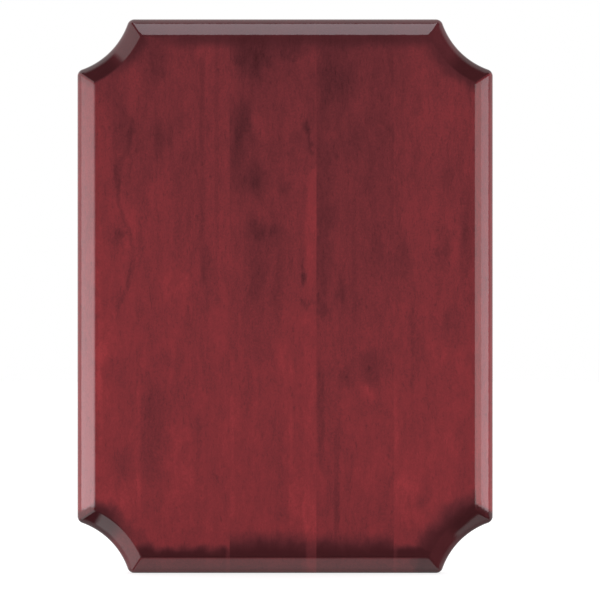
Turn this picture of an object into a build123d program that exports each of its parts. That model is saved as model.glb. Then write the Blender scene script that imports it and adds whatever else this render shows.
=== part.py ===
from build123d import *
import math
import os

# Wooden plaque: a board edge-glued from five upright staves, with scooped corners and a moulded
# front edge, two keyhole hangers let in flush at the back, and four felt pads.
# Millimetres. The plaque stands upright: X is its width, Z its height, and the front faces -Y.
# The origin is the centre of the board's flat back face.
#
# Each piece is drawn lying on its back first: x across, y up the board, z from the back (0) to
# the front face (THICKNESS). stand_up() then turns it upright.

# Board
WIDTH = 228.6
HEIGHT = 304.8
THICKNESS = 19.0
GLUE_LINES = (-81.9, -30.4, 17.2, 59.6)

# Corner scoops: each arc's centre lies outside the corner by the same distance both ways
SCOOP_RADIUS = 41.3
SCOOP_SETBACK = 11.3
TIP_RADIUS = 4.0

# Moulded front edge: square side, rounded shoulder, flat bevel, then an eased edge to the face
BEVEL_WIDTH = 10.5
BEVEL_ANGLE = 37.0
SHOULDER_RADIUS = 4.0
FACE_EASE_RADIUS = 3.0
BACK_EASE_RADIUS = 0.8

# Keyhole hanger plates: steel, round-ended, flush with the back, slot along the plate's length
PLATE_LENGTH = 42.0
PLATE_WIDTH = 16.0
PLATE_THICKNESS = 1.5
PLATE_CLEARANCE = 0.15
PORTRAIT_PLATE_AT = (0.0, 112.0)
LANDSCAPE_PLATE_AT = (84.0, 0.0)
ENTRY_RADIUS = 4.75
ENTRY_DROP = 3.0
SLOT_RADIUS = 2.3
SLOT_TRAVEL = 9.0
POCKET_RADIUS = 5.5
POCKET_DEPTH = 8.5
PLATE_SCREW_SPACING = 31.0

# Countersunk wood screws, 1/2 inch long
SCREW_LENGTH = 12.7
HEAD_RADIUS = 3.5
HEAD_RIM = 0.3
HEAD_HALF_ANGLE = 41.0
THREAD_RADIUS = 1.75
CORE_RADIUS = 1.2
THREAD_PITCH = 1.4
THREAD_COUNT = 5
RECESS_SPAN = 3.8
RECESS_WIDTH = 0.9
RECESS_DEPTH = 1.5

# Felt pads
PAD_RADIUS = 6.35
PAD_THICKNESS = 2.0
PAD_EASE = 0.5
PAD_AT = (96.0, 112.0)

# Cutting tools run this far past what they cut
MARGIN = 5.0


def stand_up(shape):
    """Turns a piece drawn on its back upright, so that its front faces -Y."""
    return Rot(90, 0, 0) * shape


def moulding_waste(outward):
    """The section that the moulding cutter removes, with x as the inset from the board's edge
    and y as the height above its back. It reaches outward past the edge."""
    tilt = math.radians(BEVEL_ANGLE)
    shoulder_run = SHOULDER_RADIUS * (1 - math.sin(tilt))
    shoulder_rise = SHOULDER_RADIUS * math.cos(tilt)
    ease_run = FACE_EASE_RADIUS * math.sin(tilt)
    ease_drop = FACE_EASE_RADIUS * (1 - math.cos(tilt))
    bevel_rise = (BEVEL_WIDTH - shoulder_run - ease_run) * math.tan(tilt)
    side_top = THICKNESS - ease_drop - bevel_rise - shoulder_rise
    bevel_foot = (shoulder_run, side_top + shoulder_rise)
    bevel_head = (BEVEL_WIDTH - ease_run, THICKNESS - ease_drop)
    back_start = (BACK_EASE_RADIUS, 0)
    outline = [
        TangentArc(back_start, (0, BACK_EASE_RADIUS), tangent=(-1, 0)),
        Line((0, BACK_EASE_RADIUS), (0, side_top)),
        TangentArc((0, side_top), bevel_foot, tangent=(0, 1)),
        Line(bevel_foot, bevel_head),
        TangentArc(bevel_head, (BEVEL_WIDTH, THICKNESS), tangent=(math.cos(tilt), math.sin(tilt))),
        Polyline(
            (BEVEL_WIDTH, THICKNESS),
            (BEVEL_WIDTH, THICKNESS + MARGIN),
            (-outward, THICKNESS + MARGIN),
            (-outward, -MARGIN),
            (BACK_EASE_RADIUS, -MARGIN),
            back_start,
        ),
    ]
    return make_face(outline)


def side_cutter(turn, reach):
    """The waste along one straight side that lies reach from the board's centre."""
    run = HEIGHT + 2 * MARGIN
    section = Plane(origin=(reach, -run / 2, 0), x_dir=(-1, 0, 0), z_dir=(0, 1, 0))
    return Rot(0, 0, turn) * extrude(section * moulding_waste(MARGIN), run)


def tip_cutter(start, swing):
    """The waste round one tip, swept about the tip's centre from the start direction."""
    waste = Pos(TIP_RADIUS, 0) * mirror(moulding_waste(MARGIN), Plane.YZ)
    reach = TIP_RADIUS + 2 * MARGIN
    outside = Pos(reach / 2, THICKNESS / 2) * Rectangle(reach, THICKNESS + 4 * MARGIN)
    section = Plane.XZ * (waste & outside)
    return Rot(0, 0, start) * revolve(section, Axis.Z, swing)


def corner_cutter():
    """The waste at the upper right corner, with the corner at the origin."""
    section = Plane.XZ * (Pos(SCOOP_RADIUS, 0) * moulding_waste(SCOOP_RADIUS))
    scoop = Pos(SCOOP_SETBACK, SCOOP_SETBACK) * revolve(section, Axis.Z)
    across = SCOOP_SETBACK + TIP_RADIUS
    along = math.sqrt((SCOOP_RADIUS + TIP_RADIUS) ** 2 - across**2)
    swing = math.degrees(math.atan2(along, across))
    side_tip = Pos(-TIP_RADIUS, SCOOP_SETBACK - along) * tip_cutter(0, swing)
    end_tip = Pos(SCOOP_SETBACK - along, -TIP_RADIUS) * tip_cutter(90 - swing, swing)
    return [scoop, side_tip, end_tip]


def board():
    """The whole glued-up board, moulded and scooped."""
    shape = Pos(0, 0, THICKNESS / 2) * Box(WIDTH, HEIGHT, THICKNESS)
    for turn, reach in ((0, WIDTH / 2), (90, HEIGHT / 2), (180, WIDTH / 2), (270, HEIGHT / 2)):
        shape -= side_cutter(turn, reach)
    for cutter in corner_cutter():
        upper_right = Pos(WIDTH / 2, HEIGHT / 2) * cutter
        upper_left = mirror(upper_right, Plane.YZ)
        for upper in (upper_right, upper_left):
            shape -= upper
            shape -= mirror(upper, Plane.XZ)
    return shape


def stave_blanks():
    """The board sawn along its glue lines, from left to right."""
    whole = board()
    edges = (-WIDTH / 2, *GLUE_LINES, WIDTH / 2)
    blanks = []
    for left, right in zip(edges, edges[1:]):
        strip = Pos((left + right) / 2, 0, THICKNESS / 2) * Box(right - left, HEIGHT, THICKNESS)
        blanks.append(whole & strip)
    return blanks


def screw_body():
    """One countersunk screw with a plain head, from z = 0 to its point at z = SCREW_LENGTH."""
    cone_end = HEAD_RIM + (HEAD_RADIUS - CORE_RADIUS) / math.tan(math.radians(HEAD_HALF_ANGLE))
    points = [(0, 0), (HEAD_RADIUS, 0), (HEAD_RADIUS, HEAD_RIM), (CORE_RADIUS, cone_end)]
    thread_start = cone_end + THREAD_PITCH / 2
    for turn in range(THREAD_COUNT):
        foot = thread_start + turn * THREAD_PITCH
        points.append((CORE_RADIUS, foot))
        points.append((THREAD_RADIUS, foot + THREAD_PITCH / 2))
    points.append((CORE_RADIUS, thread_start + THREAD_COUNT * THREAD_PITCH))
    points.append((0, SCREW_LENGTH))
    return revolve(Plane.XZ * make_face(Polyline(*points, close=True)), Axis.Z)


def wood_screw():
    """The screw with the cross recess in its head."""
    shape = screw_body()
    for turn in (45, 135):
        slot = Pos(0, 0, RECESS_DEPTH / 2) * Box(RECESS_SPAN, RECESS_WIDTH, RECESS_DEPTH)
        shape -= Rot(0, 0, turn) * slot
    return shape


def at_screw_places(solid):
    """Two copies of a solid, where one plate's screws go along its length (y)."""
    return [Pos(0, side * PLATE_SCREW_SPACING / 2) * solid for side in (-1, 1)]


def keyhole_plate():
    """One hanger plate at z = 0 to PLATE_THICKNESS, with its slot running up from the entry hole."""
    blank = extrude(Rot(0, 0, 90) * SlotOverall(PLATE_LENGTH, PLATE_WIDTH), PLATE_THICKNESS)
    entry = Pos(0, -ENTRY_DROP) * Circle(ENTRY_RADIUS)
    slot_centre = SLOT_TRAVEL / 2 - ENTRY_DROP
    slot = Pos(0, slot_centre) * Rot(0, 0, 90) * SlotCenterToCenter(SLOT_TRAVEL, 2 * SLOT_RADIUS)
    shape = blank - extrude(entry + slot, PLATE_THICKNESS)
    for screw in at_screw_places(screw_body()):
        shape -= screw
    return shape


def plate_housing():
    """What is cut from the stave behind one plate: the recess, the pocket and the screw holes."""
    length = PLATE_LENGTH + 2 * PLATE_CLEARANCE
    width = PLATE_WIDTH + 2 * PLATE_CLEARANCE
    recess = Pos(0, 0, -MARGIN) * extrude(
        Rot(0, 0, 90) * SlotOverall(length, width), PLATE_THICKNESS + MARGIN
    )
    pocket_centre = SLOT_TRAVEL / 2 - ENTRY_DROP
    pocket = extrude(
        Pos(0, pocket_centre) * Rot(0, 0, 90) * SlotCenterToCenter(SLOT_TRAVEL, 2 * POCKET_RADIUS),
        POCKET_DEPTH,
    )
    return [recess, pocket, *at_screw_places(screw_body())]


def hanger(place, turn):
    """One hanger at its place on the back: its plate, its screws and what it cuts from the wood."""
    move = Pos(place[0], place[1], 0) * Rot(0, 0, turn)
    plate = move * keyhole_plate()
    screws = [move * screw for screw in at_screw_places(wood_screw())]
    cuts = [move * cut for cut in plate_housing()]
    return plate, screws, cuts


def felt_pad():
    """One pad, stuck to the back face, with its outer rim eased."""
    shape = Pos(0, 0, -PAD_THICKNESS / 2) * Cylinder(PAD_RADIUS, PAD_THICKNESS)
    outer_rim = shape.edges().sort_by(Axis.Z)[0]
    return fillet(outer_rim, PAD_EASE)


def save(name, *solids):
    """Writes one node, upright, as one or more separate solids."""
    upright = [stand_up(solid) for solid in solids]
    shape = upright[0] if len(upright) == 1 else Compound(children=upright)
    export_step(shape, f"parts/{name}.step")


os.makedirs("parts", exist_ok=True)

staves = stave_blanks()
portrait_plate, portrait_screws, portrait_cuts = hanger(PORTRAIT_PLATE_AT, 0)
landscape_plate, landscape_screws, landscape_cuts = hanger(LANDSCAPE_PLATE_AT, -90)
for cut in portrait_cuts:
    staves[2] -= cut
for cut in landscape_cuts:
    staves[4] -= cut

for number, stave in enumerate(staves, start=1):
    save(f"stave_{number}", stave)
save("portrait_keyhole_plate", portrait_plate)
save("landscape_keyhole_plate", landscape_plate)
save("portrait_plate_screws", *portrait_screws)
save("landscape_plate_screws", *landscape_screws)

for row, up in (("top", 1), ("bottom", -1)):
    for column, across in (("left", -1), ("right", 1)):
        pad = Pos(across * PAD_AT[0], up * PAD_AT[1]) * felt_pad()
        save(f"bumper_{row}_{column}", pad)
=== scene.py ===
import math

import bmesh
import bpy
import numpy as np
from mathutils import Matrix, Vector, noise
from mathutils.geometry import delaunay_2d_cdt


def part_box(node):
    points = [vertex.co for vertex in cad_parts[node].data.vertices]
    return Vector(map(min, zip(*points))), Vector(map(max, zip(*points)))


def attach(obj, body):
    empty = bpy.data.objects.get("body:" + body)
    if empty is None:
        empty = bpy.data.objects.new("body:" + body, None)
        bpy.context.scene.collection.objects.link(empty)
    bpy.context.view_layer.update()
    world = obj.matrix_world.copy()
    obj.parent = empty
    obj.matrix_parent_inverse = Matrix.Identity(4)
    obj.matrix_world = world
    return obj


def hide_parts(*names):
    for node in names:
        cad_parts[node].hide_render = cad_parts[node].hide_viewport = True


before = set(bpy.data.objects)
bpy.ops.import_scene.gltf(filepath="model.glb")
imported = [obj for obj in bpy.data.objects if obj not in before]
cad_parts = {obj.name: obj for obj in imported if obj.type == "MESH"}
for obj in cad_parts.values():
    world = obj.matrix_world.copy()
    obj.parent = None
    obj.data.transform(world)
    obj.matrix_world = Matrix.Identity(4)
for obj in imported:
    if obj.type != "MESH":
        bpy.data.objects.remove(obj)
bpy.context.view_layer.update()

# A wooden plaque, upright, its front facing -Y. Lengths are in metres unless a name ends in _MM.
MM = 0.001
BODY = "root"

# -------- sizes taken from the frame
STAVES = [f"stave_{number}" for number in range(1, 6)]
STAVE_BOXES = [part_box(name) for name in STAVES]
BOARD_LEFT = STAVE_BOXES[0][0].x
BOARD_RIGHT = STAVE_BOXES[-1][1].x
BOARD_BOTTOM = STAVE_BOXES[2][0].z
BOARD_TOP = STAVE_BOXES[2][1].z
BOARD_FRONT = STAVE_BOXES[2][0].y
HALF_WIDTH = (BOARD_RIGHT - BOARD_LEFT) / 2
HALF_HEIGHT = (BOARD_TOP - BOARD_BOTTOM) / 2
THICKNESS = -BOARD_FRONT

# -------- the moulded edge
SCOOP_RADIUS = 41.3 * MM
SCOOP_SETBACK = 11.3 * MM
TIP_RADIUS = 4.0 * MM
MITRE_RADIUS = 2.0 * MM
BEVEL_WIDTH = 10.5 * MM
BEVEL_TILT = math.radians(37.0)
BEVEL_CROWN = math.radians(7.2)
SHOULDER_RADIUS = 4.0 * MM
FACE_EASE_RADIUS = 3.0 * MM
BACK_EASE_RADIUS = 0.8 * MM
FACE_RIM = 1.2 * MM

# The lacquered face's slow unevenness: height, spans across and up, and slice of the noise
RIPPLE_HEIGHT = 0.012 * MM
RIPPLE_SPAN = (38.0 * MM, 64.0 * MM)
RIPPLE_SLICE = 0.37

# The spacing of the points that carry the back and the face
BACK_NET = 12.0 * MM
FACE_NET = 3.0 * MM
NET_TOLERANCE = 1e-7

# Where the flat side is divided, and the steps along each arc and edge of the board
SIDE_SHARES = (0.33, 0.67)
BACK_EASE_STEPS = 4
FACE_EASE_STEPS = 8
BEVEL_STEPS = 12
TIP_STEPS = 12
SCOOP_STEPS = 60
END_STEPS = 60
SIDE_STEPS = 84

# -------- the back hardware
PLATE_LENGTH = 42.0 * MM
PLATE_WIDTH = 16.0 * MM
PLATE_THICKNESS = 1.5 * MM
PLATE_GAP = 0.15 * MM
PLATE_RIM = ((0.18 * MM, 0.0), (0.054 * MM, 0.054 * MM), (0.0, 0.18 * MM))
HOLE_RIM_SHARE = 0.4
ENTRY_RADIUS = 4.75 * MM
ENTRY_DROP = 3.0 * MM
SLOT_RADIUS = 2.3 * MM
SLOT_TRAVEL = 9.0 * MM
POCKET_RADIUS = 5.5 * MM
POCKET_DEPTH = 8.5 * MM
SCREW_SPACING = 31.0 * MM
SCREW_LENGTH = 12.7 * MM
HEAD_RADIUS = 3.5 * MM
HEAD_RIM = 0.3 * MM
HEAD_TILT = math.radians(41.0)
THREAD_RADIUS = 1.75 * MM
CORE_RADIUS = 1.2 * MM
THREAD_PITCH = 1.4 * MM
THREAD_STEP = 0.11 * MM
SHANK_TOP = HEAD_RIM + (HEAD_RADIUS - CORE_RADIUS) / math.tan(HEAD_TILT)
THREAD_SHARPNESS = 3.2
POINT_LENGTH = 2.4 * MM
SEAT_GAP = 0.02 * MM
CUT_OVERRUN = 2.0 * MM

# The screw head's top and rim (share of its radius, depth), its seat's steps, and the shank's gaps
HEAD_PROFILE = ((0.5, 0.0), (0.93, 0.0), (0.985, 0.05 * MM), (1.0, 0.14 * MM), (1.0, HEAD_RIM))
SEAT_STEPS = 8
SHANK_GAP = 0.1 * MM

# The cross recess: its size at each height, its arms, and how far their width tapers
CROSS_LEVELS = ((1.05, 0.1 * MM), (1.0, 0.0), (0.42, -1.7 * MM))
CROSS_ARM = 1.9 * MM
CROSS_HALF_WIDTH = 0.42 * MM
CROSS_TAPER = 0.6

# The felt pads' rounded rim and nap
FELT_EASE = 0.5 * MM
FELT_BASE = 0.05 * MM
NAP_HEIGHT = 0.07 * MM
NAP_SINK = 0.06 * MM
NAP_SIZE = 0.9 * MM
FELT_CREASE = 60.0

# Steps round each loop of the back hardware
PLATE_STEPS = 40
KEYHOLE_STEPS = (24, 56)
HOLE_STEPS = 48
CUTTER_STEPS = 32
SCREW_STEPS = 40
PAD_STEPS = 120


# ======== mesh helpers
def smooth_shade(bm, crease_degrees=30.0):
    """Shades smooth but for edges sharper than crease_degrees."""
    for face in bm.faces:
        face.smooth = True
    limit = math.radians(crease_degrees)
    for edge in bm.edges:
        edge.smooth = len(edge.link_faces) == 2 and edge.calc_face_angle() < limit


def new_object(name, data):
    made = bpy.data.objects.new(name, data)
    bpy.context.scene.collection.objects.link(made)
    return made


def finish_mesh(bm, name, crease_degrees=30.0):
    """Turns a bmesh into an object."""
    bmesh.ops.recalc_face_normals(bm, faces=bm.faces)
    smooth_shade(bm, crease_degrees)
    mesh = bpy.data.meshes.new(name)
    bm.to_mesh(mesh)
    bm.free()
    return new_object(name, mesh)


def add_ring(bm, loop, y):
    """Vertices along a loop of (x, z) at one depth."""
    return [bm.verts.new((x, y, z)) for x, z in loop]


def pairs(ring):
    """Each item of a closed ring with the next one."""
    return zip(ring, ring[1:] + ring[:1])


def bridge(bm, rings):
    """Quads between each closed ring and the next, all with the same number of vertices."""
    for first, second in zip(rings, rings[1:]):
        for low, high in zip(pairs(first), pairs(second)):
            bm.faces.new(low + high[::-1])


def fan(bm, point, ring):
    """Triangles from a point to a closed ring."""
    for pair in pairs(ring):
        bm.faces.new((point, *pair))


def carve(target, cutter):
    """Cuts the cutter out of the target and removes the cutter."""
    cut = target.modifiers.new("cut", "BOOLEAN")
    cut.operation = "DIFFERENCE"
    cut.solver = "EXACT"
    cut.material_mode = "TRANSFER"
    cut.object = cutter
    bpy.context.view_layer.update()
    evaluated = target.evaluated_get(bpy.context.evaluated_depsgraph_get())
    mesh = bpy.data.meshes.new_from_object(evaluated)
    bm = bmesh.new()
    bm.from_mesh(mesh)
    smooth_shade(bm)
    bm.to_mesh(mesh)
    bm.free()
    target.modifiers.clear()
    old = target.data
    target.data = mesh
    bpy.data.meshes.remove(old)
    bpy.data.objects.remove(cutter)


def arc(centre, radius, start, end, steps):
    """Points (across, up) along an arc, both ends included."""
    angles = np.linspace(start, end, steps + 1)
    return [(centre[0] + radius * math.cos(a), centre[1] + radius * math.sin(a)) for a in angles]


# ======== the board's shape
def edge_profile():
    """The moulded edge as (inset from the outline, height in front of the back).
    The bevel is slightly rounded, and runs smoothly into the shoulder and the face."""
    quarter = math.pi / 2
    outer = quarter - BEVEL_TILT - BEVEL_CROWN
    inner = quarter - BEVEL_TILT + BEVEL_CROWN
    shoulder_run = SHOULDER_RADIUS * (1 - math.cos(outer))
    bevel_run = BEVEL_WIDTH - shoulder_run - FACE_EASE_RADIUS * math.cos(inner)
    crown_radius = bevel_run / (math.cos(outer) - math.cos(inner))
    ease_drop = FACE_EASE_RADIUS * (1 - math.sin(inner))
    bevel_rise = crown_radius * (math.sin(inner) - math.sin(outer))
    side_top = THICKNESS - ease_drop - bevel_rise - SHOULDER_RADIUS * math.sin(outer)
    back_centre = (BACK_EASE_RADIUS, BACK_EASE_RADIUS)
    back = arc(back_centre, BACK_EASE_RADIUS, -quarter, -math.pi, BACK_EASE_STEPS)
    side = [(0, BACK_EASE_RADIUS + (side_top - BACK_EASE_RADIUS) * share) for share in SIDE_SHARES]
    shoulder = arc((SHOULDER_RADIUS, side_top), SHOULDER_RADIUS, math.pi, math.pi - outer, BEVEL_STEPS)
    start = shoulder[-1]
    crown_centre = (start[0] + crown_radius * math.cos(outer), start[1] - crown_radius * math.sin(outer))
    bevel = arc(crown_centre, crown_radius, math.pi - outer, math.pi - inner, BEVEL_STEPS)
    ease_centre = (BEVEL_WIDTH, THICKNESS - FACE_EASE_RADIUS)
    ease = arc(ease_centre, FACE_EASE_RADIUS, math.pi - inner, quarter, FACE_EASE_STEPS)
    return back + side + shoulder + bevel[1:-1] + ease + [(BEVEL_WIDTH + FACE_RIM, THICKNESS)]


def corner_outline(inset):
    """The upper right corner's outline at an inset, from its side tip to its end tip, relative to
    where the straight sides would meet."""
    tip = max(TIP_RADIUS - inset, MITRE_RADIUS)
    across = SCOOP_SETBACK + inset + tip
    along = math.sqrt((SCOOP_RADIUS + inset + tip) ** 2 - across**2)
    swing = math.atan2(along, across)
    quarter = math.pi / 2
    side_tip = arc((-inset - tip, SCOOP_SETBACK - along), tip, 0, swing, TIP_STEPS)
    scoop_centre = (SCOOP_SETBACK, SCOOP_SETBACK)
    start, end = math.pi + swing, math.pi + quarter - swing
    scoop = arc(scoop_centre, SCOOP_RADIUS + inset, start, end, SCOOP_STEPS)
    end_tip_centre = (SCOOP_SETBACK - along, -inset - tip)
    end_tip = arc(end_tip_centre, tip, quarter - swing, quarter, TIP_STEPS)
    return side_tip + scoop[1:-1] + end_tip


def board_outline(inset):
    """The whole closed outline at an inset, as (x, z), anticlockwise seen from the front."""
    right_top = [(HALF_WIDTH + x, HALF_HEIGHT + z) for x, z in corner_outline(inset)]
    left_top = [(-x, z) for x, z in reversed(right_top)]
    left_bottom = [(-x, -z) for x, z in right_top]
    right_bottom = [(x, -z) for x, z in reversed(right_top)]
    corners = (right_top, left_top, left_bottom, right_bottom)
    points = []
    for (corner, following), steps in zip(pairs(corners), (END_STEPS, SIDE_STEPS) * 2):
        points += corner
        start, end = np.array(corner[-1]), np.array(following[0])
        for share in np.linspace(0, 1, steps + 1)[1:-1]:
            points.append(tuple(start + (end - start) * share))
    return points


def ripple(x, z):
    """How far the lacquered face stands out at a point."""
    place = Vector((x / RIPPLE_SPAN[0], RIPPLE_SLICE, z / RIPPLE_SPAN[1]))
    return RIPPLE_HEIGHT * noise.noise(place)


def fill_face(bm, ring, height_of, spacing):
    """Fills a closed ring with a net of triangles, spaced as given."""
    flat = [(vert.co.x, vert.co.z) for vert in ring]
    low, high = np.min(flat, axis=0), np.max(flat, axis=0)
    reach = SCOOP_RADIUS + BEVEL_WIDTH + FACE_RIM + spacing / 2
    centre_x, centre_z = HALF_WIDTH + SCOOP_SETBACK, HALF_HEIGHT + SCOOP_SETBACK
    inner = []
    for x in np.arange(low[0] + spacing, high[0] - spacing / 2, spacing):
        for z in np.arange(low[1] + spacing, high[1] - spacing / 2, spacing):
            if math.hypot(centre_x - abs(x), centre_z - abs(z)) > reach:
                inner.append((float(x), float(z)))
    points = [Vector(point) for point in flat + inner]
    loop = list(range(len(flat)))
    coords, _, faces, sources, *_ = delaunay_2d_cdt(points, [], [loop], 1, NET_TOLERANCE)
    verts = []
    for coord, source in zip(coords, sources):
        if source and source[0] < len(flat):
            verts.append(ring[source[0]])
        else:
            verts.append(bm.verts.new((coord.x, -height_of(coord.x, coord.y), coord.y)))
    for face in faces:
        bm.faces.new([verts[corner] for corner in face])


def board_mesh():
    """The whole board as one closed bmesh."""
    bm = bmesh.new()
    rings = [add_ring(bm, board_outline(inset), -height) for inset, height in edge_profile()]
    bridge(bm, rings)
    fill_face(bm, rings[0], lambda x, z: 0.0, BACK_NET)
    fill_face(bm, rings[-1], lambda x, z: THICKNESS + ripple(x, z), FACE_NET)
    return bm


def saw_stave(board, number):
    """One stave: the board cut off at its left and right glue lines."""
    bm = board.copy()
    low, high = STAVE_BOXES[number]
    cuts = []
    if number > 0:
        cuts.append((low.x, -1))
    if number < len(STAVES) - 1:
        cuts.append((high.x, 1))
    for x, side in cuts:
        geometry = bm.verts[:] + bm.edges[:] + bm.faces[:]
        done = bmesh.ops.bisect_plane(
            bm, geom=geometry, dist=1e-8, plane_co=(x, 0, 0), plane_no=(side, 0, 0), clear_outer=True
        )
        edges = [item for item in done["geom_cut"] if isinstance(item, bmesh.types.BMEdge)]
        bmesh.ops.holes_fill(bm, edges=edges, sides=0)
    return finish_mesh(bm, f"wood_{STAVES[number]}")


# ======== the back hardware's shapes
def slot_loop(radius, low, high, steps):
    """A round-ended slot standing along z, as (x, z), with arc centres at low and high."""
    upper = arc((0, high), radius, 0, math.pi, steps)
    lower = arc((0, low), radius, math.pi, 2 * math.pi, steps)
    return upper + lower


def circle_loop(radius, centre_z, steps):
    return arc((0, centre_z), radius, 0, 2 * math.pi, steps)[:-1]


def keyhole_loop(grow):
    """The keyhole's outline, made larger all round by grow."""
    entry, slot = ENTRY_RADIUS + grow, SLOT_RADIUS + grow
    meet = math.asin(slot / entry)
    top = SLOT_TRAVEL - ENTRY_DROP
    upper = arc((0, top), slot, 0, math.pi, KEYHOLE_STEPS[0])
    start, end = math.pi / 2 + meet, 5 * math.pi / 2 - meet
    lower = arc((0, -ENTRY_DROP), entry, start, end, KEYHOLE_STEPS[1])
    return upper + lower


def prism(bm, loop, near, far):
    """A closed prism from a loop of (x, z), between two depths along y."""
    first, second = add_ring(bm, loop, near), add_ring(bm, loop, far)
    bridge(bm, [first, second])
    bm.faces.new(first)
    bm.faces.new(second)


def lathe(bm, profile, centre_z, steps):
    """A closed solid of revolution about a line along y, from (radius, y) points."""
    rings = []
    for radius, y in profile:
        if radius == 0:
            rings.append([bm.verts.new((0, y, centre_z))])
        else:
            rings.append(add_ring(bm, circle_loop(radius, centre_z, steps), y))
    for first, second in zip(rings, rings[1:]):
        if len(first) == 1:
            fan(bm, first[0], second)
        elif len(second) == 1:
            fan(bm, second[0], first)
        else:
            bridge(bm, [first, second])


def place_hanger(bm, node):
    """Moves a hanger piece from its own axes to its plate's place on the back."""
    low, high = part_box(node)
    middle = (low + high) / 2
    lies_flat = high.x - low.x > high.z - low.z
    turn = Matrix.Rotation(math.radians(90 if lies_flat else 0), 4, "Y")
    move = Matrix.Translation((middle.x, 0, middle.z)) @ turn
    bmesh.ops.transform(bm, matrix=move, verts=bm.verts)


def housing_cutters(node):
    """The recess, the pocket and the screw holes behind one plate, as cutters."""
    recess = bmesh.new()
    half = (PLATE_LENGTH - PLATE_WIDTH) / 2
    recess_loop = slot_loop(PLATE_WIDTH / 2 + PLATE_GAP, -half, half, CUTTER_STEPS)
    prism(recess, recess_loop, CUT_OVERRUN, -PLATE_THICKNESS)
    pocket = bmesh.new()
    pocket_loop = slot_loop(POCKET_RADIUS, -ENTRY_DROP, SLOT_TRAVEL - ENTRY_DROP, CUTTER_STEPS)
    prism(pocket, pocket_loop, -PLATE_THICKNESS / 2, -POCKET_DEPTH)
    cutters = [recess, pocket]
    bore = THREAD_RADIUS + SEAT_GAP
    seat_end = HEAD_RIM + (HEAD_RADIUS - bore) / math.tan(HEAD_TILT) + SEAT_GAP
    seat_radius = HEAD_RADIUS + SEAT_GAP
    for side in (-1, 1):
        hole = bmesh.new()
        profile = [(0, CUT_OVERRUN), (seat_radius, CUT_OVERRUN), (seat_radius, -HEAD_RIM)]
        profile += [(bore, -seat_end), (bore, -SCREW_LENGTH + THREAD_RADIUS)]
        profile += [(0, -SCREW_LENGTH - SEAT_GAP)]
        lathe(hole, profile, side * SCREW_SPACING / 2, SCREW_STEPS)
        cutters.append(hole)
    made = []
    for bm in cutters:
        place_hanger(bm, node)
        made.append(finish_mesh(bm, "cutter"))
    return made


def keyhole_plate(node):
    """A steel plate with eased edges, a keyhole and two countersunk holes."""
    bm = bmesh.new()
    half = (PLATE_LENGTH - PLATE_WIDTH) / 2
    depths = list(PLATE_RIM)
    depths += [(cut, PLATE_THICKNESS - y) for cut, y in reversed(PLATE_RIM)]
    columns = [[(slot_loop(PLATE_WIDTH / 2 - cut, -half, half, PLATE_STEPS), y) for cut, y in depths]]
    columns.append([(keyhole_loop(cut), y) for cut, y in depths])
    for side in (-1, 1):
        centre = side * SCREW_SPACING / 2
        column = []
        for cut, y in depths:
            sunk = max(0.0, y - HEAD_RIM) * math.tan(HEAD_TILT)
            radius = HEAD_RADIUS + SEAT_GAP * 2 - sunk + cut * HOLE_RIM_SHARE
            column.append((circle_loop(radius, centre, HOLE_STEPS), y))
        columns.append(column)
    rims = {0: [], len(depths) - 1: []}
    for column in columns:
        rings = [add_ring(bm, loop, -y) for loop, y in column]
        bridge(bm, rings)
        for level, edges in rims.items():
            edges += [bm.edges.get(pair) for pair in pairs(rings[level])]
    for edges in rims.values():
        bmesh.ops.triangle_fill(bm, use_beauty=True, edges=edges, normal=(0, 1, 0))
    place_hanger(bm, node)
    return finish_mesh(bm, f"steel_{node}")


def thread_height(depth, turn):
    """How far the thread stands out of the core at a depth below the head and a turn (0 to 1)."""
    start = SHANK_TOP + THREAD_PITCH * 0.5
    end = SCREW_LENGTH - THREAD_PITCH
    if not start < depth < end:
        return 0.0
    fade = min(1.0, (depth - start) / THREAD_PITCH, (end - depth) / THREAD_PITCH)
    phase = (depth / THREAD_PITCH - turn) % 1.0
    ridge = max(0.0, 1.0 - abs(phase - 0.5) * THREAD_SHARPNESS)
    return (THREAD_RADIUS - CORE_RADIUS) * ridge * fade


def wood_screw(node, side):
    """One countersunk screw with a helical thread; its recess is cut afterwards."""
    bm = bmesh.new()
    rows = [(HEAD_RADIUS * share, depth) for share, depth in HEAD_PROFILE]
    for share in np.linspace(0, 1, SEAT_STEPS)[1:]:
        radius = HEAD_RADIUS + (CORE_RADIUS - HEAD_RADIUS) * share
        rows.append((radius, HEAD_RIM + (SHANK_TOP - HEAD_RIM) * share))
    for depth in np.arange(SHANK_TOP + SHANK_GAP, SCREW_LENGTH - SHANK_GAP, THREAD_STEP):
        taper = min(1.0, (SCREW_LENGTH - depth) / POINT_LENGTH)
        rows.append((CORE_RADIUS * taper, depth))
    centre = side * SCREW_SPACING / 2
    rings = []
    for radius, depth in rows:
        ring = []
        for step in range(SCREW_STEPS):
            turn = step / SCREW_STEPS
            reach = radius + thread_height(depth, turn)
            angle = 2 * math.pi * turn
            x, z = reach * math.cos(angle), centre + reach * math.sin(angle)
            ring.append(bm.verts.new((x, -depth, z)))
        rings.append(ring)
    bridge(bm, rings)
    fan(bm, bm.verts.new((0, 0, centre)), rings[0])
    fan(bm, bm.verts.new((0, -SCREW_LENGTH, centre)), rings[-1])
    place_hanger(bm, node)
    return finish_mesh(bm, f"screw_{node}")


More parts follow.
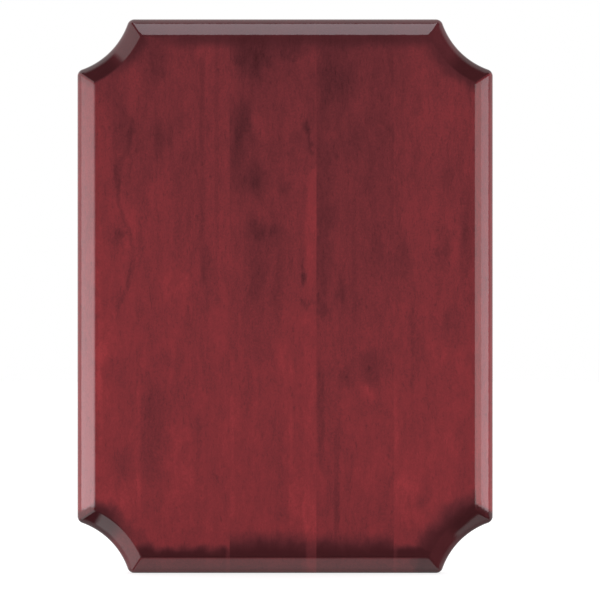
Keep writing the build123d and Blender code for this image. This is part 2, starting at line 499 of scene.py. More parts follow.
def cross_recess(node, side):
    """The tapered cross that a screwdriver fits, as a cutter."""
    bm = bmesh.new()
    centre = side * SCREW_SPACING / 2
    rings = []
    for scale, y in CROSS_LEVELS:
        reach = CROSS_ARM * scale
        width = CROSS_HALF_WIDTH * (1 - CROSS_TAPER * (1 - scale))
        quarter = [(reach, -width), (reach, width), (width, width)]
        loop = []
        for turn in range(4):
            spin = math.radians(45 + 90 * turn)
            for x, z in quarter:
                across = x * math.cos(spin) - z * math.sin(spin)
                up = x * math.sin(spin) + z * math.cos(spin)
                loop.append((across, centre + up))
        rings.append(add_ring(bm, loop, y))
    bridge(bm, rings)
    bm.faces.new(rings[0])
    bm.faces.new(rings[-1])
    place_hanger(bm, node)
    return finish_mesh(bm, "cutter")


def plate_screws(node, plate_node):
    """Both screws of one plate as a single piece."""
    screws = []
    for side in (-1, 1):
        screw = wood_screw(plate_node, side)
        carve(screw, cross_recess(plate_node, side))
        screws.append(screw)
    bm = bmesh.new()
    for screw in screws:
        bm.from_mesh(screw.data)
        bpy.data.objects.remove(screw)
    return finish_mesh(bm, f"steel_{node}")


def felt_pad(node):
    """A punched felt disc with a soft, slightly uneven nap."""
    low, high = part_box(node)
    middle = (low + high) / 2
    radius = (high.x - low.x) / 2
    depth = high.y - low.y
    profile = [(radius * share, 0.0) for share in np.linspace(0.1, 0.97, 8)]
    profile += [(radius, FELT_BASE)]
    profile += [(radius, depth * share) for share in (0.2, 0.4, 0.6)]
    profile += arc((radius - FELT_EASE, depth - FELT_EASE), FELT_EASE, 0, math.pi / 2, 6)
    profile += [(radius * share, depth) for share in np.linspace(0.9, 0.04, 26)]
    bm = bmesh.new()
    rings = []
    for reach, y in profile:
        loop = [(middle.x + x, middle.z + z) for x, z in circle_loop(reach, 0, PAD_STEPS)]
        rings.append(add_ring(bm, loop, y))
    bridge(bm, rings)
    bm.faces.new(rings[0])
    bm.faces.new(rings[-1])
    bm.normal_update()
    for vert in bm.verts:
        if vert.co.y > FELT_BASE / 2:
            grain = noise.fractal(vert.co / NAP_SIZE, 0.6, 2.0, 3)
            vert.co += vert.normal * (NAP_HEIGHT * grain - NAP_SINK)
            vert.co.y = min(vert.co.y, depth)
    return finish_mesh(bm, f"felt_{node}", FELT_CREASE)


# ======== node helpers
class Signal:
    """A shader value that adds, subtracts, multiplies and divides like a number."""

    def __init__(self, graph, socket):
        self.graph = graph
        self.socket = socket

    def __add__(self, other):
        return self.graph.math("ADD", self, other)

    def __sub__(self, other):
        return self.graph.math("SUBTRACT", self, other)

    def __rsub__(self, other):
        return self.graph.math("SUBTRACT", other, self)

    def __mul__(self, other):
        return self.graph.math("MULTIPLY", self, other)

    def __truediv__(self, other):
        return self.graph.math("DIVIDE", self, other)

    __radd__ = __add__
    __rmul__ = __mul__


class Graph:
    """A node tree built by short calls. Inputs may be signals, sockets or plain values."""

    def __init__(self, tree):
        self.tree = tree
        tree.nodes.clear()

    def node(self, kind, inputs=None, **settings):
        made = self.tree.nodes.new(f"ShaderNode{kind}")
        for name, value in settings.items():
            setattr(made, name, value)
        for key, value in (inputs or {}).items():
            self.feed(made.inputs[key], value)
        return made

    def feed(self, socket, value):
        if isinstance(value, Signal):
            value = value.socket
        if isinstance(value, bpy.types.NodeSocket):
            self.tree.links.new(value, socket)
        else:
            socket.default_value = value

    def math(self, operation, *values):
        made = self.node("Math", operation=operation)
        for socket, value in zip(made.inputs, values):
            self.feed(socket, value)
        return Signal(self, made.outputs[0])

    def absolute(self, value):
        return self.math("ABSOLUTE", value)

    def smooth(self, value, low, high, at_low=0.0, at_high=1.0):
        """Goes smoothly from at_low to at_high as value goes from low to high."""
        inputs = {"Value": value, "From Min": low, "From Max": high}
        inputs.update({"To Min": at_low, "To Max": at_high})
        made = self.node("MapRange", inputs, interpolation_type="SMOOTHSTEP")
        return Signal(self, made.outputs[0])

    def combine(self, x, y, z):
        return Signal(self, self.node("CombineXYZ", {"X": x, "Y": y, "Z": z}).outputs[0])

    def vector(self, operation, *values):
        made = self.node("VectorMath", dict(enumerate(values)), operation=operation)
        return made.outputs[0]

    def split(self, vector):
        """The x, y and z of a vector."""
        parts = self.node("SeparateXYZ", {0: vector}).outputs
        return [Signal(self, part) for part in parts]

    def place_in_mm(self):
        """Where a point lies on the plaque, in mm."""
        source = self.node("TexCoord").outputs["Object"]
        return self.vector("MULTIPLY", source, (1 / MM,) * 3)

    def noise_node(self, place, size, detail, roughness, offset):
        stretched = self.vector("MULTIPLY", place, tuple(1.0 / length for length in size))
        moved = self.vector("ADD", stretched, (offset,) * 3)
        inputs = {"Vector": moved, "Scale": 1.0, "Detail": detail, "Roughness": roughness}
        return self.node("TexNoise", inputs)

    def noise(self, place, size, detail=2.0, roughness=0.5, offset=0.0):
        """Noise about zero, roughly within -1 to 1, with features of the given size (x, y, z)."""
        made = self.noise_node(place, size, detail, roughness, offset)
        return Signal(self, made.outputs[0]) * 2.0 - 1.0

    def warp(self, place, size, reach, offset):
        """The place pushed about by noise of the given size, by reach times about a tenth."""
        colour = self.noise_node(place, size, 3.0, 0.6, offset).outputs["Color"]
        centred = self.vector("SUBTRACT", colour, (0.5, 0.5, 0.5))
        return self.vector("MULTIPLY_ADD", centred, reach, place)

    def bump(self, strength, distance, height):
        inputs = {"Strength": strength, "Distance": distance, "Height": height}
        return self.node("Bump", inputs).outputs[0]

    def ramp(self, value, stops):
        """A colour from a value, through (position, linear colour) stops."""
        made = self.node("ValToRGB", {"Fac": value})
        elements = made.color_ramp.elements
        while len(elements) < len(stops):
            elements.new(0.5)
        for element, (position, colour) in zip(elements, stops):
            element.position = position
            element.color = (*colour, 1.0)
        return made.outputs[0]


def window(graph, value, low, high, soft):
    """1 while value is between low and high, fading to 0 over soft beyond each."""
    rise = graph.smooth(value, low - soft, low + soft)
    return rise * graph.smooth(value, high - soft, high + soft, 1.0, 0.0)


def new_material(name):
    material = bpy.data.materials.new(name)
    material.use_nodes = True
    return material, Graph(material.node_tree)


def set_surface(graph, shader, output="OutputMaterial"):
    graph.tree.links.new(shader.outputs[0], graph.node(output).inputs["Surface"])


def linear(red, green, blue):
    """A linear colour from display levels out of 255."""
    levels = []
    for level in (red, green, blue):
        share = level / 255
        levels.append(share / 12.92 if share <= 0.04045 else ((share + 0.055) / 1.055) ** 2.4)
    return tuple(levels)


# ======== the lacquered wood
# Stain tones, from dark end grain (0) through the clear red (1) to the brightest red (1.25), reached
# where light is painted onto the side mouldings
WOOD_TONES = (
    (0.0, linear(62, 26, 29)),
    (0.35, linear(84, 37, 41)),
    (0.6, linear(102, 43, 47)),
    (0.8, linear(116, 47, 51)),
    (1.0, linear(131, 50, 54)),
    (1.25, linear(150, 56, 60)),
)

# Each stave's tone at its top and bottom, its seed, and how far stain crept up it in mm. The rise in
# tone from top to bottom is painted light, the face lit more strongly low down; the staves' differing
# tones are the wood's own
STAVE_LOOKS = (
    (0.74, 0.97, 3.1, 6.0),
    (0.70, 0.93, 3.1, 7.0),
    (0.59, 0.93, 23.9, 14.0),
    (0.56, 0.87, 37.3, 13.0),
    (0.72, 0.93, 37.3, 8.0),
)

# The heights in mm between which the bottom tone gives way to the top tone: painted light, brighter
# low down and darker towards the top
PAINTED_LIGHT_FADE = (-110.0, 165.0)

# How the place is pushed about before noise is read there: size in mm, reach, seed step
GRAIN_WARP = ((26, 26, 60), (16, 16, 10), 0)
SMOKE_WARP = ((8, 8, 12), (14, 0, 18), 5)

# The grain's layers of noise: feature size in mm, detail, roughness, seed step
LAYERS = {
    "clouds": ((25, 25, 44), 3.0, 0.55, 1),
    "mottle": ((9, 9, 16), 4.0, 0.6, 2),
    "streaks": ((3.4, 3.4, 55), 2.0, 0.5, 3),
    "flecks": ((1.3, 1.3, 3.4), 3.0, 0.6, 4),
    "speckle": ((0.8, 0.8, 1.0), 2.0, 0.5, 6),
    "ragged": ((12, 12, 16), 3.0, 0.5, 7),
    "patches": ((3.4, 3.4, 13), 3.0, 0.6, 8),
    "pores": ((1.1, 1.1, 4.2), 2.0, 0.5, 9),
}

# How far the layers shift the tone; for patches and pores, between which noise levels and how far
SHIFTS = {"clouds": 0.16, "mottle": 0.17, "streaks": 0.08, "flecks": 0.12, "speckle": 0.21}
PATCHES = (-0.14, 0.14, -0.035, 0.035)
PORES = (0.2, 0.42, 0.0, -0.14)

# A mark's edges as shares of its size, and how the mottle breaks it up (its share, and the rest)
MARK_EDGES = (0.1, 1.25)
MARK_BREAKUP = (0.8, 0.85)

# How raggedly stain creeps: the reach of its own noise and of the streaks, in mm
RAGGED_REACH = (6.0, 0.4)

# The lacquer: orange peel's size in mm, the shares of peel, streaks and flecks in its relief,
# smudges, polish, and how much rougher and thinner it is on the back
PEEL_SIZE = (2.6, 2.6, 2.6)
RELIEF_SHARES = (0.5, 0.15, 0.1)
SMUDGE_SIZE = (16, 16, 22)
SMUDGE_SHARE = 0.012
POLISH = 0.045
BACK_ROUGHNESS = 0.2
BACK_THINNING = 0.5

# Figure in each stave: centre x and z, half width and half height in mm, and change of tone
FIGURE = (
    (
        (-94, 112, 7, 14, -0.22), (-90, 92, 8, 16, -0.20), (-85, 62, 4, 22, -0.10),
        (-90, 32, 4.5, 5, -0.34), (-92, 64, 1.9, 10, -0.22), (-86, 14, 1.7, 12, -0.22),
        (-103, 22, 5, 34, 0.14), (-92, -4, 3, 9, -0.24), (-102, -40, 5, 34, 0.18),
        (-86, 34, 5, 20, 0.10), (-88, -48, 6, 22, -0.10), (-90, -92, 9, 12, -0.26),
        (-96, -112, 9, 7, 0.10),
    ),
    (
        (-72, 128, 8, 18, -0.20), (-69, 87, 7, 15, -0.22), (-66, 60, 6, 18, 0.12),
        (-60, 8, 11, 20, 0.16), (-44, 12, 3.5, 22, -0.18), (-72, -76, 9, 40, -0.26),
        (-56, -90, 7, 30, 0.08), (-36, -30, 5, 30, 0.10),
    ),
    (
        (-18, 132, 13, 13, -0.50), (4, 136, 14, 7, -0.26), (-22, 96, 7, 15, -0.34),
        (-26, 82, 5, 14, -0.26), (-12, 92, 6, 8, 0.16), (-17, 65, 12, 12, -0.38), (0, 61, 4, 5, -0.24),
        (12, 92, 3.3, 5, -0.38), (6, 98, 6, 12, 0.12), (14.5, 85, 1.8, 7, -0.3), (-15, 36, 8, 9, -0.36),
        (-4, 35, 7, 8, -0.30), (-16, 12, 7, 26, -0.28), (-4, 2, 5, 22, -0.20),
        (11, 11, 2.6, 4.5, -0.42), (12, -3, 3.2, 3, -0.32), (0, -34, 6, 16, 0.12),
        (-20, -52, 5, 18, -0.12), (-6, -78, 5, 22, -0.16), (6, -102, 7, 24, 0.10),
    ),
    (
        (28, 122, 13, 26, -0.26), (22, 70, 7, 40, -0.16), (24, 88, 5, 5, 0.16), (38, 84, 5, 12, -0.08),
        (21, 20, 5, 40, -0.16), (51, 22, 5, 14, -0.20), (31, 3, 5, 9, -0.26), (20, -8, 4, 10, -0.24),
        (47, -38, 10, 11, -0.28), (34, -42, 4, 9, -0.18), (45, -54, 5, 5, 0.22), (50, -92, 7, 28, 0.08),
    ),
    (
        (63, 110, 5, 40, -0.12), (62, 20, 4, 60, -0.09), (90, 70, 8, 24, -0.10), (84, 96, 13, 34, 0.08),
        (65, 22, 6, 16, -0.22), (87, 26, 6, 13, -0.28), (101, 32, 4, 34, -0.18),
        (92, -14, 6, 16, -0.16), (72, -20, 6, 18, -0.12), (68, -108, 9, 22, 0.16),
        (77, -112, 4, 6, -0.22), (92, -70, 7, 30, 0.08),
    ),
)

# The dark vein that wanders down the first stave: its ends (low, high, softness), and how far from
# its middle it fades (from, to, then the change of tone at each)
VEIN_MIDDLE_MM = -89.5
VEIN_SWAY_MM = 4.2
VEIN_WAVE_MM = 80.0
VEIN_ENDS_MM = (-2.0, 100.0, 6.0)
VEIN_WIDTH = (0.2, 2.4, -0.17, 0.0)

# The sapwood stripe along the third stave's right edge. Below the first height of its step it
# stands off that edge by the last number, and above the second it touches it
SAPWOOD_WIDTH_MM = 6.0
SAPWOOD_TOP_MM = 74.0
SAPWOOD_POINT_MM = 10.0
SAPWOOD_SOFT_MM = (-1.2, 2.2)
SAPWOOD_DRIFT_MM = 2.0
SAPWOOD_CHANGE = 0.17
SAPWOOD_STEP = (-14.0, 4.0, 1.8)

# Where the stripe fades: height, reach of the fade, reach of its end, and the share left
SAPWOOD_GAPS = ((-2.0, 5.0, 13.0, 0.2), (-60.0, 30.0, 60.0, 0.4))

# Upright lines that took up less stain: left and right in mm, the share kept, and where they end
PALE_LINES = {1: (-32.4, -29.0, 0.62), 2: (11.6, 19.0, 0.62), 4: (58.0, 61.6, 0.72)}
PALE_LINES_END = (-40.0, 0.0)

# The mouldings along the straight sides: tone at the top and bottom, and its share at the top and
# bottom tips. Their tone, above the face's and rising towards the bottom, is painted light: the
# mouldings lit more strongly than the face, and most strongly low down
SIDE_TONES = {0: (0.98, 1.25, 0.8, 0.42), 4: (0.86, 1.14, 0.9, 0.1)}

# How far from the mitre those tips are fully dark, and where they stop being dark, in mm
TIP_SHADE = (0.3, 3.8)

# The outermost rim of those mouldings: from and to in mm from the side, and its share
RIM_SHADE = (1.0, 2.4, 0.9)

# A line's wander with the flecks, its edges as shares of its half width, and its ends' fade in mm
LINE_WANDER = 1.5
LINE_EDGES = (0.3, 1.3)
LINE_FADE = 9.0

# Straight upright lines in each stave: x, half width, low end and high end in mm, change of tone
LINES = (
    ((-101.5, 1.6, -80, 40, 0.10),),
    ((-80.3, 1.3, -122, -44, 0.12), (-45.5, 1.8, 10, 130, -0.13), (-37.5, 1.4, 0, 136, -0.10)),
    ((-29.1, 1.7, -134, -36, 0.08), (-22, 1.3, -20, 60, -0.08), (3, 1.2, -120, -30, 0.08)),
    ((19.6, 2.2, -92, -40, -0.22), (28.5, 1.8, -130, -72, -0.20), (38, 1.5, -30, 60, -0.08)),
    ((60.9, 1.7, -136, -46, 0.07), (98, 2.2, 0, 62, -0.12), (70, 1.3, -60, 20, -0.08)),
)

# The stain's reach from the top moulding in mm and its depth there, its depth at the bottom, and
# its share on the bottom bevel (from and to in mm inside the field)
TOP_STAIN = (8.0, 0.6)
BOTTOM_STAIN = 0.92
BOTTOM_BEVEL_STAIN = (-2.1, -1.1, 0.38)

# How much less the face soaks up at the top left: from and to in mm across, and the least share
TOP_LEFT_FADE = (-80.0, -50.0, 0.2)

# The edges in mm of the top moulding, of the field at the sides, and of a mitre
MOULDING_EDGE = (-1.5, 0.5)
FIELD_EDGE = (-1.4, -0.6)
MITRE_EDGE = 0.8

# How steep the way from a scoop's centre is (0 level, 1 upright) where its stain turns from side tip
# to end tip, and where its moulding turns to end grain
TIP_STEEPNESS = (0.5, 0.92)
END_GRAIN_STEEPNESS = (0.64, 0.8)

# The stain round each scoop: its reach on the face in mm, its depth there near the end tip and the
# side tip, and its depth on the moulding
SCOOP_STAIN = {
    (-1, 1): (6.5, 0.15, 0.72, 0.58),
    (1, 1): (8.0, 0.66, 0.38, 0.58),
    (-1, -1): (8.0, 0.85, 0.18, 0.33),
    (1, -1): (12.5, 1.0, 0.8, 0.72),
}


def wood_marks(graph, place, number):
    """The sum of a stave's figure marks."""
    total = 0.0
    for x, z, half_width, half_height, change in FIGURE[number]:
        away = graph.vector("SUBTRACT", place, (x, 0, z))
        scaled = graph.vector("MULTIPLY", away, (1 / half_width, 0, 1 / half_height))
        reach = graph.node("VectorMath", {0: scaled}, operation="LENGTH").outputs["Value"]
        total = graph.smooth(reach, MARK_EDGES[0], MARK_EDGES[1], change, 0.0) + total
    return total


def dark_vein(graph, place):
    """A thin dark vein that wanders down the first stave."""
    x, _, z = graph.split(place)
    swing = graph.math("SINE", (z - VEIN_WAVE_MM) * (2 * math.pi / VEIN_WAVE_MM))
    away = graph.absolute(x - VEIN_MIDDLE_MM - swing * VEIN_SWAY_MM)
    return graph.smooth(away, *VEIN_WIDTH) * window(graph, z, *VEIN_ENDS_MM)


def sapwood(graph, x, z, drift):
    """The bright stripe at the third stave's right edge, pointed at its top end."""
    edge = STAVE_BOXES[2][1].x / MM
    low, high, stand_off = SAPWOOD_STEP
    right = graph.smooth(z, low, high, edge - stand_off, edge)
    narrow_from = SAPWOOD_TOP_MM - SAPWOOD_POINT_MM
    width = graph.smooth(z, SAPWOOD_TOP_MM, narrow_from, 0.0, SAPWOOD_WIDTH_MM)
    inside = width - (right - x) + drift * SAPWOOD_DRIFT_MM
    stripe = graph.smooth(inside, *SAPWOOD_SOFT_MM) * SAPWOOD_CHANGE
    for height, near, far, share in SAPWOOD_GAPS:
        stripe = stripe * graph.smooth(graph.absolute(z - height), near, far, share, 1.0)
    return stripe


def soaked_ends(graph, x, z, ragged, creep):
    """How strongly stain has soaked in: most by the cut ends and scoops, fading into the face."""
    bevel = BEVEL_WIDTH / MM
    half_width, half_height = HALF_WIDTH / MM, HALF_HEIGHT / MM
    side = half_width - graph.absolute(x)
    end = half_height - graph.absolute(z)
    from_top = half_height - bevel - z
    from_bottom = z + half_height - bevel
    top_reach, top_stain = TOP_STAIN
    soak = graph.smooth(from_top + ragged * 0.5, 0.0, top_reach, top_stain, 0.0)
    left_fade = graph.smooth(x, *TOP_LEFT_FADE, 1.0)
    on_moulding = graph.smooth(from_top, *MOULDING_EDGE, 1.0, 0.0)
    soak = soak * (left_fade + (1.0 - left_fade) * on_moulding)
    low = graph.smooth(from_bottom + ragged, 0.0, creep, BOTTOM_STAIN, 0.0)
    low = low * graph.smooth(from_bottom, *BOTTOM_BEVEL_STAIN, 1.0)
    flat_field = graph.smooth(side - bevel, *FIELD_EDGE)
    soak = graph.math("MAXIMUM", soak, low) * flat_field
    for (along, up), (reach, end_stain, side_stain, moulding_stain) in SCOOP_STAIN.items():
        to_x = x - along * (half_width + SCOOP_SETBACK / MM)
        to_z = z - up * (half_height + SCOOP_SETBACK / MM)
        length = graph.math("SQRT", to_x * to_x + to_z * to_z)
        distance = length - SCOOP_RADIUS / MM
        steepness = graph.absolute(to_z) / length
        face_stain = graph.smooth(steepness, *TIP_STEEPNESS, side_stain, end_stain)
        face = graph.smooth(distance - bevel + ragged, 0.0, reach, 1.0, 0.0) * face_stain
        soak = graph.math("MAXIMUM", soak, face * flat_field)
        end_grain = graph.smooth(steepness, *END_GRAIN_STEEPNESS)
        moulding = end_grain * (1.0 - moulding_stain) + moulding_stain
        nearest = graph.math("MINIMUM", graph.math("MINIMUM", side, end), bevel - MITRE_EDGE)
        on_scoop = graph.smooth(nearest - distance, -MITRE_EDGE, MITRE_EDGE)
        soak = soak + (moulding - soak) * on_scoop
    return soak


def distance_to_mitre(graph, side, z):
    """How far along a side's moulding a point lies from the mitre with the scoop, in mm."""
    outer, inner = (corner_outline(inset)[0][1] for inset in (0.0, BEVEL_WIDTH))
    slope = (inner - outer) / BEVEL_WIDTH
    return side * slope + (HALF_HEIGHT + outer) / MM - graph.absolute(z)


def light_lines(graph, x, z, number):
    """Less than 1 where the lower end of a stave's edge took up less stain."""
    left, right, keep = PALE_LINES.get(number, (0.0, 0.0, 1.0))
    low = graph.smooth(z, *PALE_LINES_END, 1.0, 0.0)
    return window(graph, x, left, right, 1.0) * low * (keep - 1.0) + 1.0


def side_moulding(graph, z, side, number):
    """The side moulding's tone, with painted light brightening it low down, darker at its tips."""
    at_top, at_bottom, top_share, bottom_share = SIDE_TONES[number]
    half_height = HALF_HEIGHT / MM
    tone = graph.smooth(z, -half_height, half_height, at_bottom, at_top)
    tip_share = graph.smooth(z, -1.0, 1.0, bottom_share, top_share)
    tone = tone * graph.smooth(distance_to_mitre(graph, side, z), *TIP_SHADE, tip_share, 1.0)
    return tone * graph.smooth(side, *RIM_SHADE, 1.0)


def lacquer(graph, place, layers, colour, behind):
    """The stained colour under a clear gloss coat with a slight relief."""
    peel = graph.noise(place, PEEL_SIZE, 2.0, 0.5, 2.0)
    shares = zip((peel, layers["streaks"], layers["flecks"]), RELIEF_SHARES)
    relief = sum(layer * share for layer, share in shares)
    smudge = graph.noise(place, SMUDGE_SIZE, 3.0, 0.6, 4.0)
    inputs = {"Base Color": colour, "Roughness": 0.6, "Specular IOR Level": 0.0}
    inputs["Coat Weight"] = 1.0 - behind * BACK_THINNING
    inputs["Coat Roughness"] = smudge * SMUDGE_SHARE + POLISH + behind * BACK_ROUGHNESS
    inputs["Coat IOR"] = 1.55
    inputs["Coat Normal"] = graph.bump(0.035, 0.0004, relief)
    set_surface(graph, graph.node("BsdfPrincipled", inputs))


def wood_material(number):
    """Red-brown stained wood under a clear gloss lacquer, with its grain along z."""
    material, graph = new_material(f"lacquered_wood_{number + 1}")
    shaded_top_tone, lit_bottom_tone, seed, creep = STAVE_LOOKS[number]
    place = graph.place_in_mm()
    x, _, z = graph.split(place)
    grain_place, smoky_place = (
        graph.warp(place, size, reach, seed + step) for size, reach, step in (GRAIN_WARP, SMOKE_WARP)
    )
    layers = {}
    for name, (size, detail, roughness, step) in LAYERS.items():
        source = smoky_place if name == "mottle" else grain_place
        layers[name] = graph.noise(source, size, detail, roughness, seed + step)
    # Painted light: the tone rises from the shaded top to the better-lit bottom of the face
    base = graph.smooth(z, *PAINTED_LIGHT_FADE, lit_bottom_tone, shaded_top_tone)
    tone = base + sum(layers[name] * shift for name, shift in SHIFTS.items())
    tone = tone + graph.smooth(layers["patches"], *PATCHES) + graph.smooth(layers["pores"], *PORES)

    marks = wood_marks(graph, smoky_place, number)
    if number == 0:
        marks = marks + dark_vein(graph, grain_place)
    for middle, half_width, low, high, change in LINES[number]:
        away = graph.absolute(x - middle + layers["flecks"] * LINE_WANDER)
        inner, outer = (half_width * share for share in LINE_EDGES)
        line = graph.smooth(away, inner, outer, change, 0.0)
        marks = marks + line * window(graph, z, low, high, LINE_FADE)
    tone = tone + marks * (layers["mottle"] * MARK_BREAKUP[0] + MARK_BREAKUP[1])
    if number == 2:
        tone = tone + sapwood(graph, x, z, layers["mottle"])

    behind = graph.smooth(graph.split(graph.node("NewGeometry").outputs["Normal"])[1], 0.3, 0.8)
    if number in SIDE_TONES:
        side = HALF_WIDTH / MM - graph.absolute(x)
        on_side = graph.smooth(side - BEVEL_WIDTH / MM, *FIELD_EDGE, 1.0, 0.0)
        # The side mouldings swap the face's tone for their own, brightened by painted light
        tone = tone + on_side * (1.0 - behind) * (side_moulding(graph, z, side, number) - base)
    ragged = layers["ragged"] * RAGGED_REACH[0] + layers["streaks"] * RAGGED_REACH[1]
    soak = soaked_ends(graph, x, z, ragged, creep) * (1.0 - behind)
    tone = tone * (1.0 - soak * light_lines(graph, x, z, number))
    brightest = WOOD_TONES[-1][0]
    stops = tuple((level / brightest, colour) for level, colour in WOOD_TONES)
    lacquer(graph, place, layers, graph.ramp(tone / brightest, stops), behind)
    return material


def raw_wood_material():
    """Bare pale wood inside the routed recesses."""
    material, graph = new_material("raw_wood")
    place = graph.place_in_mm()
    grain = graph.noise(place, (0.9, 0.9, 16), 3.0, 0.6, 8.0)
    marks = graph.noise(place, (6, 6, 0.5), 1.0, 0.5, 9.0)
    tone = grain * 0.5 + marks * 0.15 + 0.5
    stops = ((0.0, linear(132, 98, 66)), (0.5, linear(176, 138, 98)), (1.0, linear(205, 171, 128)))
    bump = graph.bump(0.3, 0.0004, grain + marks)
    inputs = {"Base Color": graph.ramp(tone, stops), "Roughness": 0.8, "Normal": bump}
    set_surface(graph, graph.node("BsdfPrincipled", inputs))
    return material


def steel_material(name, tint, dark):
    """Plated steel with fine brushing, cloudy plating and scuffs."""
    material, graph = new_material(name)
    place = graph.place_in_mm()
    brush = graph.noise(place, (0.12, 0.12, 5.0), 2.0, 0.6, 1.0)
    cloud = graph.noise(place, (3.0, 3.0, 4.0), 3.0, 0.6, 2.0)
    scuff = graph.smooth(graph.noise(place, (1.4, 1.4, 0.25), 3.0, 0.7, 3.0), 0.25, 0.6)
    tone = cloud * 0.6 + brush * 0.3 + 0.55 - scuff * 0.25
    colour = graph.ramp(tone, ((0.0, dark), (1.0, tint)))
    bump = graph.bump(0.12, 0.0001, brush - scuff)
    inputs = {"Base Color": colour, "Metallic": 1.0, "Normal": bump}
    inputs["Roughness"] = cloud * 0.08 + scuff * 0.18 + 0.34
    set_surface(graph, graph.node("BsdfPrincipled", inputs))
    return material


def felt_material():
    """Dense dark felt with matted fibres."""
    material, graph = new_material("felt")
    place = graph.place_in_mm()
    fibres = graph.noise(place, (0.12, 0.5, 0.35), 4.0, 0.7, 1.0)
    crossing = graph.noise(place, (0.4, 0.5, 0.12), 4.0, 0.7, 2.0)
    clumps = graph.noise(place, (1.6, 1.6, 1.6), 3.0, 0.6, 3.0)
    relief = fibres + crossing
    tone = relief * 0.35 + clumps * 0.3 + 0.45
    stops = ((0.0, linear(22, 22, 24)), (0.55, linear(44, 44, 47)), (1.0, linear(84, 83, 86)))
    bump = graph.bump(0.8, 0.0003, relief)
    inputs = {"Base Color": graph.ramp(tone, stops), "Roughness": 0.95, "Normal": bump}
    inputs.update({"Sheen Weight": 0.35, "Sheen Roughness": 0.5, "Specular IOR Level": 0.2})
    set_surface(graph, graph.node("BsdfPrincipled", inputs))
    return material


# ======== putting the plaque together
HANGERS = (
    ("portrait_keyhole_plate", "portrait_plate_screws", 2),
    ("landscape_keyhole_plate", "landscape_plate_screws", 4),
)
PADS = [f"bumper_{row}_{side}" for row in ("top", "bottom") for side in ("left", "right")]


def adopt(piece, node, material=None):
    """Makes a piece stand for its CAD node and move with the plaque."""
    if material is not None:
        piece.data.materials.append(material)
    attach(piece, BODY)
    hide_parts(node)


def build_plaque():
    board = board_mesh()
    raw_wood = raw_wood_material()
    staves = []
    for number, node in enumerate(STAVES):
        stave = saw_stave(board, number)
        stave.data.materials.append(wood_material(number))
        staves.append(stave)
    board.free()
    plate_steel = steel_material("plated_steel", linear(196, 195, 190), linear(112, 111, 108))
    screw_steel = steel_material("screw_steel", linear(214, 196, 150), linear(134, 118, 84))
    for plate_node, screws_node, number in HANGERS:
        for cutter in housing_cutters(plate_node):
            cutter.data.materials.append(raw_wood)
            carve(staves[number], cutter)
        adopt(keyhole_plate(plate_node), plate_node, plate_steel)
        adopt(plate_screws(screws_node, plate_node), screws_node, screw_steel)
    for stave, node in zip(staves, STAVES):
        adopt(stave, node)
    felt = felt_material()
    for node in PADS:
        adopt(felt_pad(node), node, felt)


# ======== floor, light and camera
VIEW_SPAN = 330.3 * MM
VIEW_CENTRE = Vector((8.2 * MM, 0.0, -2.1 * MM))
VIEW_DISTANCE = 3.0
FLOOR_RADIUS = 7.0
FLOOR_STEPS = 96
PANEL_DISTANCE = 1.15

# The panels: angle round the plaque (0 right, 90 up), nearest and farthest angle from straight
# ahead, span along the plaque's edge in metres (low, high), glow at each end, and colour
PANELS = {
    "left_panel": (180, (22, 86), (-0.1668, 0.35), (3.0, 0.0), (0.985, 0.985, 1.05)),
    "right_panel": (0, (71, 85), (-0.162, 0.3), (3.45, 1.95), (0.985, 0.985, 1.04)),
    "right_fill": (0, (20, 71), (-0.162, 0.3), (2.1, 1.4), (1.0, 0.985, 0.98)),
    "top_panel": (90, (64, 85), (-0.45, 0.45), (2.3, 3.0), (1.0, 0.95, 1.01)),
}

# The floor's shade and speckle, and how it is dimmed and self-lit so that the camera sees white
FLOOR_SHADE = 0.86
FLOOR_SPECKLE = 0.02
FLOOR_SPECKLE_SIZE = (0.02, 0.02, 0.02)
FLOOR_CAMERA_DIM = 0.41
FLOOR_CAMERA_GLOW = 0.68

# The studio that the gloss sees, by direction: the backdrop's edge (y), where it is dimmer low down
# (z), and its glow from left to right (x from, to, then the glow at each)
HORIZON = (-0.12, 0.0)
BACKDROP_LOW = (-0.55, -0.25)
BACKDROP_GLOW = (-0.4, 0.4, 1.35, 0.95)

# The card at the left: its angles round the plaque and from straight ahead (low, high, softness),
# and its glow (from, to, then the glow at each)
CARD_ROUND = (-60, 44, 2)
CARD_AHEAD = (48, 88, 4)
CARD_GLOW = (-3, 9, 1.45, 1.05)

# The table below: angles round the plaque, where it starts from straight ahead by the angle from
# straight down (from, to, then each start), its softness and its glow, and the glow of the dark
TABLE_ROUND = (-101, -46, 3)
TABLE_EDGE = (10, 40, 64, 77)
TABLE_SOFT = 3
TABLE_GLOW = 0.74
DARK_GLOW = 0.02

# The soft light all round, by direction y: from, to, then the light at each
AMBIENT = (-0.5, 0.5, 0.61, 1.0)


def add_floor():
    """A pale disc that the plaque stands on, nearly white to the camera and not seen in the gloss."""
    bm = bmesh.new()
    loop = circle_loop(FLOOR_RADIUS, 0, FLOOR_STEPS)
    bm.faces.new([bm.verts.new((x, y, BOARD_BOTTOM)) for x, y in loop])
    floor = finish_mesh(bm, "floor")
    material, graph = new_material("pale_floor")
    source = graph.node("TexCoord").outputs["Object"]
    speckle = graph.noise(source, FLOOR_SPECKLE_SIZE, 3.0, 0.6, 0.0)
    camera_ray = Signal(graph, graph.node("LightPath").outputs["Is Camera Ray"])
    white = speckle * FLOOR_SPECKLE + FLOOR_SHADE - camera_ray * FLOOR_CAMERA_DIM
    colour = graph.combine(white, white, white)
    shader = graph.node("BsdfPrincipled", {"Base Color": colour, "Roughness": 0.7})
    graph.feed(shader.inputs["Emission Strength"], camera_ray * FLOOR_CAMERA_GLOW)
    shader.inputs["Emission Color"].default_value = (1, 1, 1, 1)
    set_surface(graph, shader)
    floor.data.materials.append(material)
    floor.visible_glossy = False


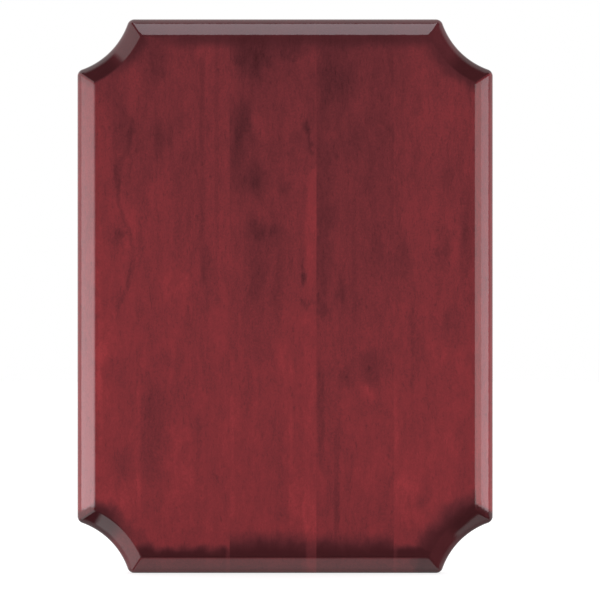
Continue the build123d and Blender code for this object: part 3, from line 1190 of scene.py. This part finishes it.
def add_panel(name, compass, ahead, span, glow, tint):
    """A soft light panel beside the plaque, seen in reflections but not by the camera."""
    near, far = (math.radians(angle) for angle in ahead)
    middle, half = (near + far) / 2, (far - near) / 2
    turn = math.radians(compass)
    out = Vector((math.cos(turn), 0, math.sin(turn)))
    along = Vector((abs(out.z), 0, abs(out.x)))
    direction = out * math.sin(middle) - Vector((0, math.cos(middle), 0))
    place = direction * PANEL_DISTANCE + along * (span[0] + span[1]) / 2
    across = along.cross(direction)
    data = bpy.data.lights.new(name, "AREA")
    data.shape = "RECTANGLE"
    data.size = 2 * PANEL_DISTANCE * math.tan(half)
    data.size_y = span[1] - span[0]
    data.energy = math.pi * data.size * data.size_y
    data.use_nodes = True
    graph = Graph(data.node_tree)
    share = graph.split(graph.node("NewGeometry").outputs["Parametric"])[1]
    strength = share * (glow[1] - glow[0]) + glow[0]
    emission = graph.node("Emission", {"Color": (*tint, 1), "Strength": strength})
    set_surface(graph, emission, "OutputLight")
    panel = new_object(name, data)
    turned = Matrix((across, along, direction)).transposed().to_4x4()
    panel.matrix_world = Matrix.Translation(place) @ turned
    panel.visible_camera = False


def reflected_studio(graph, direction):
    """What the gloss sees: a backdrop, dark in front, a card at the left and the table below."""
    x, y, z = direction
    behind = graph.smooth(y, *HORIZON)
    below = graph.smooth(z, *BACKDROP_LOW, 1.0, 0.0)
    backdrop = behind * (1.0 - below * 0.5) * graph.smooth(x, *BACKDROP_GLOW)
    degrees = 180 / math.pi
    from_left = graph.math("ARCTAN2", z, 0.0 - x) * degrees
    from_right = graph.math("ARCTAN2", z, x) * degrees
    ahead = graph.math("ARCCOSINE", 0.0 - y) * degrees
    card = window(graph, from_left, *CARD_ROUND) * window(graph, ahead, *CARD_AHEAD)
    card = card * graph.smooth(from_left, *CARD_GLOW)
    table_edge = graph.smooth(graph.absolute(from_right + 90), *TABLE_EDGE)
    table = window(graph, from_right, *TABLE_ROUND)
    table = table * graph.smooth(ahead - table_edge, -TABLE_SOFT, TABLE_SOFT)
    return backdrop + (1.0 - behind) * (card + table * TABLE_GLOW + DARK_GLOW)


def set_world():
    """White to the camera, soft light all round, and the studio as seen in the gloss."""
    world = bpy.data.worlds.new("studio")
    bpy.context.scene.world = world
    world.use_nodes = True
    graph = Graph(world.node_tree)
    direction = graph.split(graph.node("TexCoord").outputs["Generated"])
    rays = graph.node("LightPath")
    camera_ray = Signal(graph, rays.outputs["Is Camera Ray"])
    glossy_ray = Signal(graph, rays.outputs["Is Glossy Ray"])
    ambient = graph.smooth(direction[1], *AMBIENT)
    unseen = glossy_ray * reflected_studio(graph, direction) + (1.0 - glossy_ray) * ambient
    strength = camera_ray + (1.0 - camera_ray) * unseen
    background = graph.node("Background", {"Color": (1, 1, 1, 1), "Strength": strength})
    set_surface(graph, background, "OutputWorld")


def add_camera():
    """Straight on, from far enough that the sides don't show."""
    data = bpy.data.cameras.new("camera")
    data.lens = data.sensor_width * VIEW_DISTANCE / VIEW_SPAN
    data.clip_end = 30.0
    camera = new_object("camera", data)
    camera.location = VIEW_CENTRE + Vector((0, BOARD_FRONT / 2 - VIEW_DISTANCE, 0))
    camera.rotation_euler = (math.pi / 2, 0, 0)
    bpy.context.scene.camera = camera


def set_display():
    scene = bpy.context.scene
    scene.view_settings.view_transform = "Standard"
    scene.view_settings.look = "None"
    scene.cycles.use_denoising = True
    scene.cycles.max_bounces = 8


build_plaque()
add_floor()
for name, panel in PANELS.items():
    add_panel(name, *panel)
set_world()
add_camera()
set_display()
